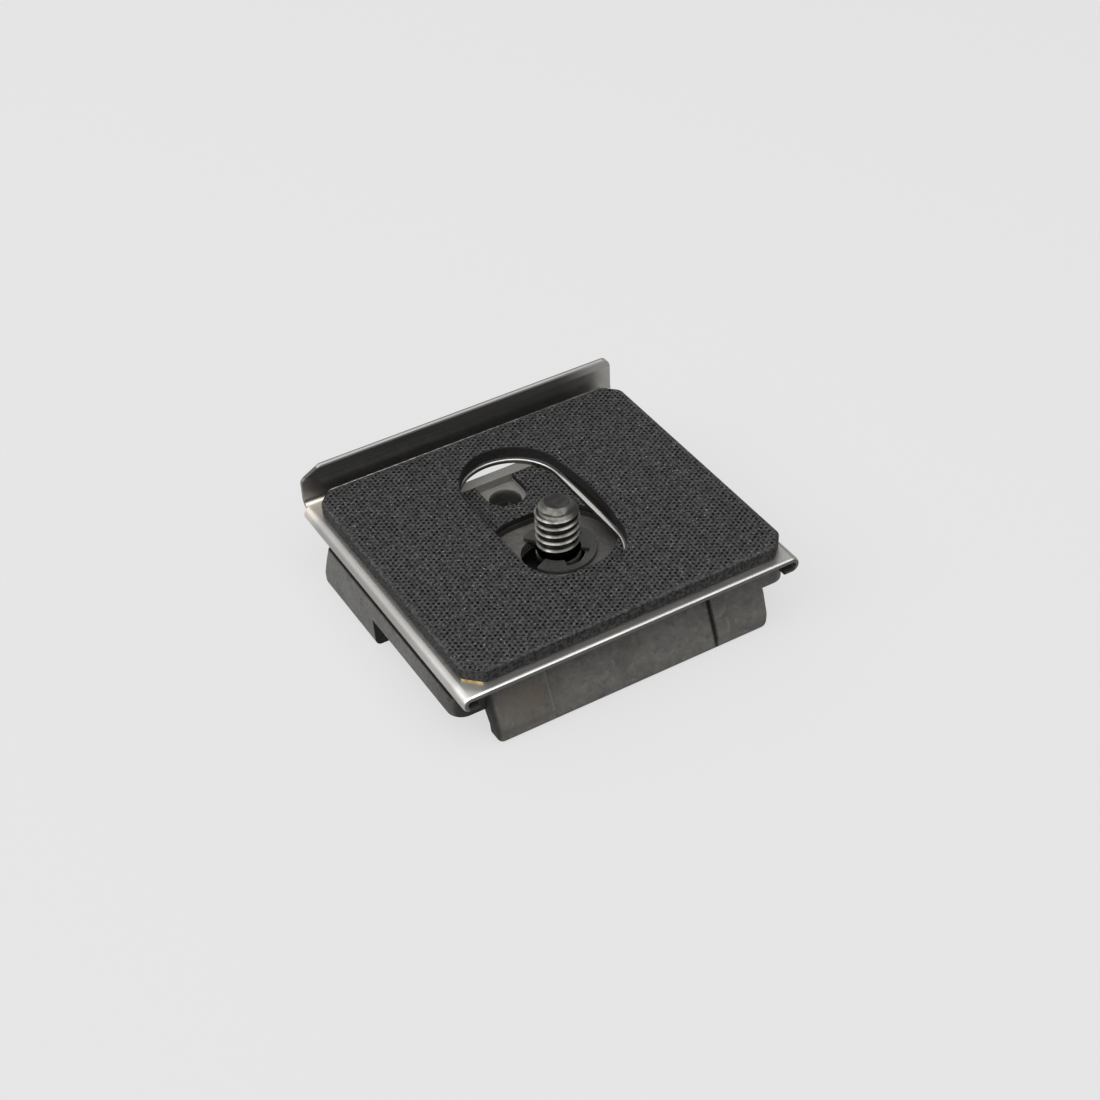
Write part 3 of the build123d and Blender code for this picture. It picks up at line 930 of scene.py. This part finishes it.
def draw_out_front(mesh):
    """Stretches the bevel of the front edge along Y."""
    for vert in mesh.verts:
        inwards = vert.co.y / MM - sheet_low.y
        if inwards < front_edge_drop + 0.01:
            vert.co.y = (sheet_low.y + inwards * front_edge_run / front_edge_drop) * MM


sheet_mesh = merged_copy("slide_plate")
divide_right_side(sheet_mesh, opening_right)
soften_edges(sheet_mesh, front_edge_drop, 6, on_front_outside)
draw_out_front(sheet_mesh)
soften_edges(sheet_mesh, drawn_edge_radius, 4, on_opening)
soften_edges(sheet_mesh, crease_width, 3, on_crease, sharper_than=crease_angle)
soften_edges(sheet_mesh, lip_edge_radius, 3, on_lip)
soften_edges(sheet_mesh, broken_edge, 2, elsewhere)
bulge_right_side(
    sheet_mesh,
    opening_right,
    drawn_edge_wider,
    lowest=sheet_face - drawn_edge_radius,
    depth=drawn_edge_radius,
)
finish_piece(sheet_mesh, "folded_sheet", "sheet", sheet_steel, "slide_plate")

# %% [markdown]
# ## The rubber pads
# Both pads are cut from sheet rubber, so their edges are square and only a little worn. The corners
# were clipped by hand and have rounded off. The cutter ran to the right of the sheet's opening, so the
# pad's own opening is wide on the right and drawn in on the left, most of all along the back arc.

# %% Soften the pads
pad_opening_margin = 0.4
pad_bulge = 0.75
pad_side_drawn_in = 0.3
pad_arc_drawn_in = 0.6
corner_radius = 0.5


def draw_in_left_side(mesh):
    """Moves the left side of the pad's opening to the right."""
    radius = opening_right + pad_opening_margin
    arc_middle = opening_middle_y + opening_half_length
    for vert in mesh.verts:
        place = vert.co / MM
        on_left = -radius - 0.1 < place.x < 0
        in_length = abs(place.y - opening_middle_y) < opening_half_length + radius + 0.1
        if on_left and in_length:
            across = -place.x / radius
            along = max(place.y - arc_middle, 0) / radius
            vert.co.x += across * (pad_side_drawn_in + 2 * along * pad_arc_drawn_in) * MM


top_mesh = merged_copy("top_pad")
divide_right_side(top_mesh, opening_right + pad_opening_margin)
bulge_right_side(top_mesh, opening_right + pad_opening_margin, pad_bulge)
draw_in_left_side(top_mesh)
upright = [
    edge
    for edge in top_mesh.edges
    if (edge.verts[0].co - edge.verts[1].co).xy.length < 0.01 * MM
    and edge.calc_face_angle(0.0) > sharp_angle
]
round_edges(top_mesh, upright, corner_radius, 3)
soften_edges(top_mesh, width=0.28, segments=3)
finish_piece(top_mesh, "grip_pad", "sheet", rubber, "top_pad")
low_mesh = merged_copy("base_pad")
soften_edges(low_mesh, width=0.08, segments=2)
finish_piece(low_mesh, "seat_pad", "base", rubber, "base_pad")

# %% [markdown]
# ## The adhesive film
# The film is thin and flat. At the front left corner a bead of it was pressed out along the clipped
# edge of the pad: a small bar, turned by 45 degrees, with round edges.

# %% Press out a bead of adhesive
corner_clip = 2.3
bead_length = corner_clip * 2**0.5 - 0.3
bead_size = 0.22
film_mesh = merged_copy("pad_adhesive")
bead_middle = Vector(
    (pad_low.x + corner_clip / 2, pad_low.y + corner_clip / 2, sheet_face + bead_size / 2)
)
bead_turn = Matrix.Rotation(radians(-45), 4, "Z")
bead_turn = bead_turn @ Matrix.Diagonal((bead_length, bead_size, bead_size, 1))
to_corner = Matrix.Scale(MM, 4) @ Matrix.Translation(bead_middle)
bead = bmesh.ops.create_cube(film_mesh, size=1.0, matrix=to_corner @ bead_turn)
bead_verts = set(bead["verts"])
bead_edges = [edge for edge in film_mesh.edges if edge.verts[0] in bead_verts]
round_edges(film_mesh, bead_edges, bead_size / 3, 2)
finish_piece(film_mesh, "adhesive_film", "sheet", amber_film, "pad_adhesive")

# %% [markdown]
# ## The wire ring
# The ring under the plate is bent from drawn wire and folds out to turn the screw by hand. Round wire
# has no edges to soften, so its own solid is right and only takes its finish.

# %% Give the ring its finish
ring = frame["nodes"]["d_ring"]
ring.data.materials.clear()
ring.data.materials.append(wire_steel)
print("d_ring takes", wire_steel.name)

# %% [markdown]
# ## The retaining ring
# The open ring sits in a groove of the screw and keeps it from falling out of the base. It is stamped
# from spring steel, so its rim has only a small broken edge, which a narrow bevel gives it.

# %% Soften the retaining ring
clip_mesh = merged_copy("retaining_clip")
soften_edges(clip_mesh, width=0.07, segments=2)
finish_piece(clip_mesh, "open_ring", "clip", clip_steel, "retaining_clip")

# %% [markdown]
# ## The camera screw
# A quarter inch camera screw has twenty threads to the inch, a pitch of 1.27 mm. The thread is a
# profile one pitch high, spun round the axis while it climbs: spin with a step upwards makes it, and
# each turn's upper edge then lies on the next turn's lower edge. A Screw modifier does the same, but
# the ends have to be cut afterwards, which is simpler in one mesh.

# %% Spin the thread
thread_pitch = 1.27
thread_depth = 0.75
crest_sharpness = 1.6
steps_per_turn = 72
profile_steps = 8
tip_height = 1.4
tip_radius = 1.7
first_crest = 9.28
neck_start = clip_high.z + 0.05
neck_radius = 2.5
neck_sides = 48
thread_start = 9.8
thread_end = screw_high.z
turns = int((thread_end - thread_start) / thread_pitch) + 3


def spin_thread():
    """The threaded shank, open at both ends, in millimetres from the screw's axis."""
    mesh = bmesh.new()
    profile = []
    for step in range(profile_steps + 1):
        share = step / profile_steps
        radius = thread_radius - thread_depth * abs(cos(pi * share)) ** crest_sharpness
        profile.append(mesh.verts.new((radius, 0.0, first_crest + (share - 0.5) * thread_pitch)))
    edges = [mesh.edges.new(pair) for pair in zip(profile, profile[1:])]
    bmesh.ops.spin(
        mesh,
        geom=profile + edges,
        cent=(0, 0, 0),
        axis=(0, 0, 1),
        dvec=(0, 0, thread_pitch / steps_per_turn),
        angle=2 * pi * turns,
        steps=steps_per_turn * turns,
    )
    bmesh.ops.remove_doubles(mesh, verts=mesh.verts, dist=merge_distance)
    return mesh


shank = spin_thread()
print("thread of", turns, "turns")

# %% [markdown]
# A camera screw ends in a short cone. The thread is drawn in to it by keeping each vertex within the
# cone's radius. Both ends are then cut level and closed, and a short plain neck is added below.


# %% Trim the thread
def taper_tip(mesh):
    """Draws the thread in to a short cone at its tip."""
    cone_start = thread_end - tip_height
    for vert in mesh.verts:
        radius = vert.co.xy.length
        above = vert.co.z - cone_start
        allowed = thread_radius - max(above, 0) / tip_height * (thread_radius - tip_radius)
        if radius > allowed:
            vert.co.xy *= allowed / radius


def trim(mesh, height, upwards, tolerance):
    """Cuts a mesh level at a height, removes what lies beyond and closes the end."""
    bmesh.ops.bisect_plane(
        mesh,
        geom=mesh.verts[:] + mesh.edges[:] + mesh.faces[:],
        dist=tolerance,
        plane_co=(0, 0, height),
        plane_no=(0, 0, 1 if upwards else -1),
        clear_outer=True,
    )
    bmesh.ops.holes_fill(mesh, edges=[edge for edge in mesh.edges if edge.is_boundary], sides=0)


taper_tip(shank)
trim(shank, thread_end, upwards=True, tolerance=0.0001)
trim(shank, thread_start, upwards=False, tolerance=0.0001)
bmesh.ops.create_cone(
    shank,
    cap_ends=True,
    segments=neck_sides,
    radius1=neck_radius,
    radius2=neck_radius,
    depth=thread_start - neck_start,
    matrix=Matrix.Translation((0, 0, (thread_start + neck_start) / 2)),
)
bmesh.ops.recalc_face_normals(shank, faces=shank.faces)
to_screw = Matrix.Scale(MM, 4) @ Matrix.Translation((screw_axis.x, screw_axis.y, 0))
bmesh.ops.transform(shank, matrix=to_screw, verts=shank.verts)
shank_data = bpy.data.meshes.new("shank")
shank.to_mesh(shank_data)
shank.free()
print("shank of", len(shank_data.polygons), "faces")

# %% [markdown]
# The solid gives the head and the groove of the retaining ring. It is cut off level just above that
# ring, and the threaded shank with its neck takes the place of the plain one.

# %% Join head and thread
screw_mesh = merged_copy("camera_screw")
trim(screw_mesh, neck_start * MM, upwards=True, tolerance=0.001 * MM)
soften_edges(screw_mesh, width=0.12, segments=2, wanted=lambda middle: middle.z < neck_start - 2)
screw_mesh.from_mesh(shank_data)
finish_piece(screw_mesh, "threaded_screw", "screw", thread_steel, "camera_screw")

# %% [markdown]
# ## The floor
# The plate stands on a pale floor that runs out of the picture. Light alone would leave it uneven, so
# it also glows: fully for the camera and a little less in reflections, which the Light Path node tells
# apart. It reads as a pale background and still takes the plate's shadow.


# %% Lay the floor
def make_floor(size, glow, mirrored_glow, colour):
    """A flat square that glows for the camera and in reflections."""
    mesh = bmesh.new()
    bmesh.ops.create_grid(mesh, x_segments=1, y_segments=1, size=size / 2)
    data = bpy.data.meshes.new("pale_floor")
    mesh.to_mesh(data)
    mesh.free()
    floor = bpy.data.objects.new("pale_floor", data)
    bpy.context.scene.collection.objects.link(floor)
    material = bpy.data.materials.new("pale_floor")
    material.use_nodes = True
    tree = material.node_tree
    shader = tree.nodes["Principled BSDF"]
    shader.inputs["Base Color"].default_value = (*colour, 1.0)
    shader.inputs["Roughness"].default_value = 0.9
    shader.inputs["Specular IOR Level"].default_value = 0.1
    rays = add_node(tree, "ShaderNodeLightPath").outputs
    seen = product(tree, rays["Is Camera Ray"], glow)
    strength = math(tree, "ADD", seen, product(tree, rays["Is Glossy Ray"], mirrored_glow))
    shader.inputs["Emission Color"].default_value = (1.0, 1.0, 1.0, 1.0)
    tree.links.new(strength, shader.inputs["Emission Strength"])
    data.materials.append(material)


floor_size = 12.0
make_floor(floor_size, glow=0.64, mirrored_glow=0.4, colour=(0.12, 0.12, 0.12))
print("floor of", floor_size, "m")

# %% [markdown]
# ## The light
# Steel shows what it mirrors, so the lamps are placed by that. The large panel behind the plate stands
# on the floor: the steel mirrors it from the flat of the sheet right round the rolled edge, without a
# dark gap. A softbox above gives the soft shadow, and a small one at the left draws out the roll.


# %% Set the lights
def add_softbox(name, azimuth, elevation, distance, width, height, power):
    """A flat area light that faces the plate from a direction in degrees."""
    data = bpy.data.lights.new(name, "AREA")
    data.shape = "RECTANGLE"
    data.size = width
    data.size_y = height
    data.energy = power
    lamp = bpy.data.objects.new(name, data)
    bpy.context.scene.collection.objects.link(lamp)
    lamp.matrix_world = turned_to(azimuth, elevation) @ Matrix.Translation((0, 0, distance))


room_light = 0.25
world = bpy.data.worlds.new("studio")
bpy.context.scene.world = world
world.use_nodes = True
background = world.node_tree.nodes["Background"]
background.inputs["Color"].default_value = (1.0, 1.0, 1.0, 1.0)
background.inputs["Strength"].default_value = room_light
add_softbox("key_softbox", azimuth=-10, elevation=68, distance=0.8, width=1.1, height=0.9, power=6.2)
add_softbox("left_softbox", azimuth=-95, elevation=40, distance=0.8, width=0.5, height=0.5, power=2.8)
add_softbox("back_panel", azimuth=-172, elevation=28, distance=0.8, width=1.3, height=0.9, power=2.25)
bpy.context.scene.view_settings.view_transform = "Standard"
